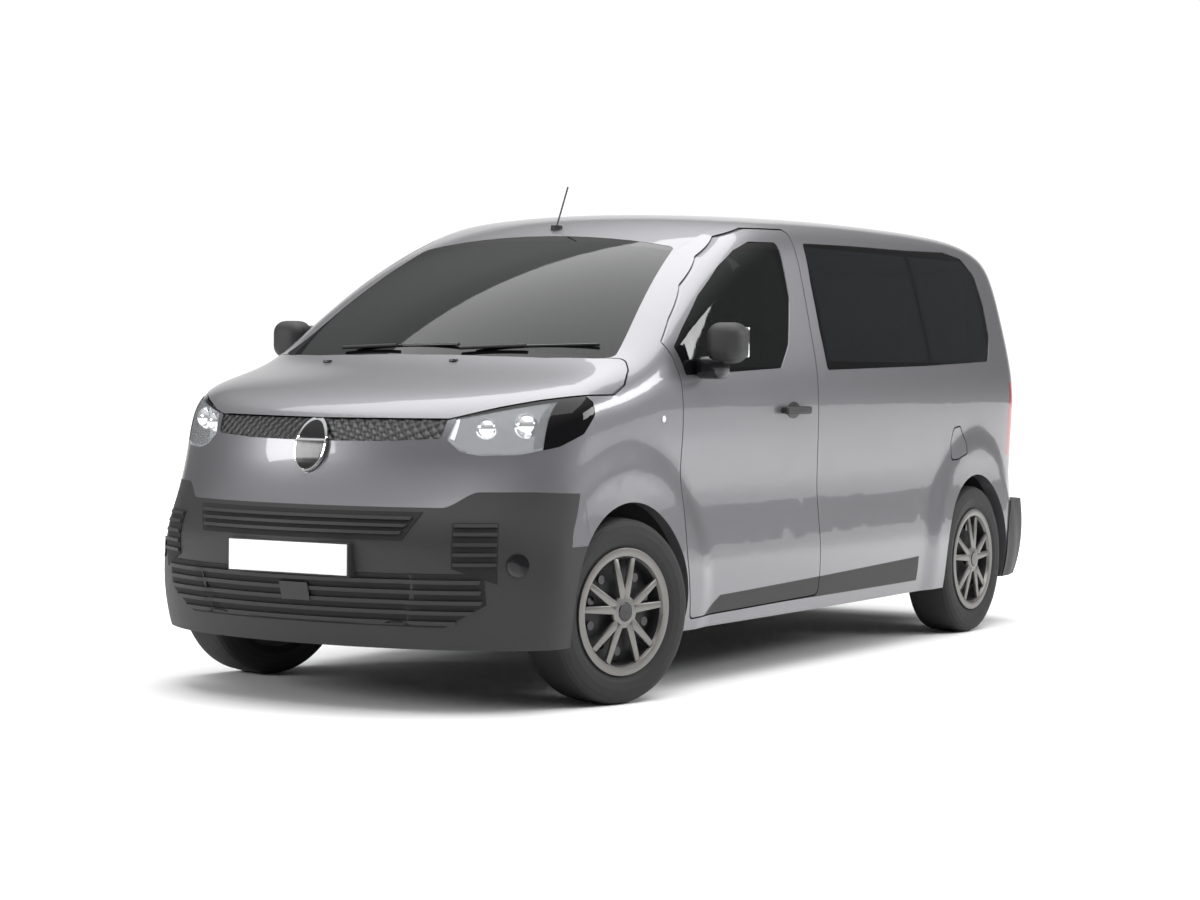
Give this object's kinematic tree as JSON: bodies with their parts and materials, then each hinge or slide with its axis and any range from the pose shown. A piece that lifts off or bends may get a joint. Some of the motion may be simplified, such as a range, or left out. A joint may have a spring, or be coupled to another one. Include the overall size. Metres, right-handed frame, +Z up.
{
  "type": "minivan",
  "caption": "Family minivan with opening bonnet, front doors and tailgate, steered front wheels and four free-rolling wheels.",
  "frame": {"origin": "on the ground, midway between the bumpers and the sides", "axes": "+Z up, -Y towards the nose, +X towards the vehicle's left side"},
  "size_m": [2.2042, 4.9807, 1.9882],
  "materials": {
    "body_paint": "gloss",
    "black_plastic": "grained",
    "dark_glass": "polished",
    "clear_lens": "clear",
    "red_lens": "gloss",
    "tyre": "satin",
    "wheel_silver": "satin",
    "bare_steel": "rough",
    "steel": "brushed",
    "alloy": "cast",
    "seat_cloth": "woven",
    "cabin_plastic": "grained",
    "carpet": "pile",
    "chrome": "mirror"
  },
  "bodies": {
    "body_shell": {"body_side_left": "body_paint", "body_side_right": "body_paint", "bulkhead": "bare_steel", "dashboard": "cabin_plastic", "driver_seat": "seat_cloth", "engine_block": "alloy", "exhaust": "steel", "floor_pan": "carpet", "front_bumper": "body_paint", "front_liners": "black_plastic", "front_rails": "bare_steel", "front_subframe": "bare_steel", "front_wings": "body_paint", "fuel_tank": "black_plastic", "headlamp_bodies": "chrome", "headlamp_lenses": "clear_lens", "lower_grille": "black_plastic", "passenger_seat": "seat_cloth", "radiator": "black_plastic", "rear_axle": "bare_steel", "rear_bumper": "black_plastic", "rear_wheelhouses": "black_plastic", "roof_antenna": "black_plastic", "roof_panel": "body_paint", "second_row_seats": "seat_cloth", "side_glass_left": "dark_glass", "side_glass_right": "dark_glass", "sliding_door_right": "body_paint", "tail_lamps": "red_lens", "third_row_seats": "seat_cloth", "upper_grille": "black_plastic", "windscreen": "dark_glass"},
    "bonnet_lid": {"bonnet": "body_paint"},
    "left_front_door": {"door_mirror_left": "black_plastic", "front_door_glass_left": "dark_glass", "front_door_left": "body_paint"},
    "right_front_door": {"door_mirror_right": "black_plastic", "front_door_glass_right": "dark_glass", "front_door_right": "body_paint"},
    "tailgate_lid": {"tailgate": "body_paint", "tailgate_glass": "dark_glass"},
    "steering_wheel_unit": {"steering_wheel": "cabin_plastic"},
    "left_knuckle": {"steering_knuckle_left": "bare_steel"},
    "right_knuckle": {"steering_knuckle_right": "bare_steel"},
    "front_left_wheel_unit": {"front_left_tyre": "tyre", "front_left_wheel": "wheel_silver"},
    "front_right_wheel_unit": {"front_right_tyre": "tyre", "front_right_wheel": "wheel_silver"},
    "rear_left_wheel_unit": {"rear_left_tyre": "tyre", "rear_left_wheel": "wheel_silver"},
    "rear_right_wheel_unit": {"rear_right_tyre": "tyre", "rear_right_wheel": "wheel_silver"},
    "fuel_flap_lid": {"fuel_flap": "body_paint"}
  },
  "joints": [
    {"name": "steer_left", "type": "hinge", "parent": "body_shell", "child": "left_knuckle", "pos_m": [0.728, -1.5875, 0.2], "axis": [-0.1682, 0, 0.9858], "range_deg": [-20, 50]},
    {"name": "front_left_spin", "type": "hinge", "parent": "left_knuckle", "child": "front_left_wheel_unit", "pos_m": [0.8113, -1.61601, 0.34437], "axis": [0.9669, -0.2551, -0.0056], "continuous": true},
    {"name": "rear_left_spin", "type": "hinge", "parent": "body_shell", "child": "rear_left_wheel_unit", "pos_m": [0.809, 1.6875, 0.345], "axis": [1, 0, 0], "continuous": true},
    {"name": "steer_right", "type": "hinge", "parent": "body_shell", "child": "right_knuckle", "pos_m": [-0.728, -1.5875, 0.2], "axis": [0.1682, 0, 0.9858], "range_deg": [-20, 50]},
    {"name": "front_right_spin", "type": "hinge", "parent": "right_knuckle", "child": "front_right_wheel_unit", "pos_m": [-0.8113, -1.55899, 0.34437], "axis": [0.9669, -0.2551, 0.0056], "continuous": true},
    {"name": "rear_right_spin", "type": "hinge", "parent": "body_shell", "child": "rear_right_wheel_unit", "pos_m": [-0.809, 1.6875, 0.345], "axis": [1, 0, 0], "continuous": true},
    {"name": "steering_wheel_turn", "type": "hinge", "parent": "body_shell", "child": "steering_wheel_unit", "pos_m": [0.37, -0.7, 1.02], "axis": [0, 0.8829, 0.4695], "range_deg": [-340, 840]},
    {"name": "bonnet_hinge", "type": "hinge", "parent": "body_shell", "child": "bonnet_lid", "pos_m": [0, -1.4, 1.288], "axis": [-1, 0, 0], "range_deg": [0, 45]},
    {"name": "left_front_door_hinge", "type": "hinge", "parent": "body_shell", "child": "left_front_door", "pos_m": [0.948, -1.214, 0.8], "axis": [0, 0, -1], "range_deg": [0, 68]},
    {"name": "right_front_door_hinge", "type": "hinge", "parent": "body_shell", "child": "right_front_door", "pos_m": [-0.948, -1.214, 0.8], "axis": [0, 0, 1], "range_deg": [0, 68]},
    {"name": "tailgate_hinge", "type": "hinge", "parent": "body_shell", "child": "tailgate_lid", "pos_m": [0, 2.252, 1.884], "axis": [1, 0, 0], "range_deg": [0, 85]},
    {"name": "fuel_flap_hinge", "type": "hinge", "parent": "body_shell", "child": "fuel_flap_lid", "pos_m": [0.924, 1.379, 0.896], "axis": [0, 0, -1], "range_deg": [0, 80]}
  ],
  "couplings": [
    {"joint": "steer_right", "follows": "steer_left", "ratio": 1},
    {"joint": "steering_wheel_turn", "follows": "steer_left", "ratio": 16}
  ]
}
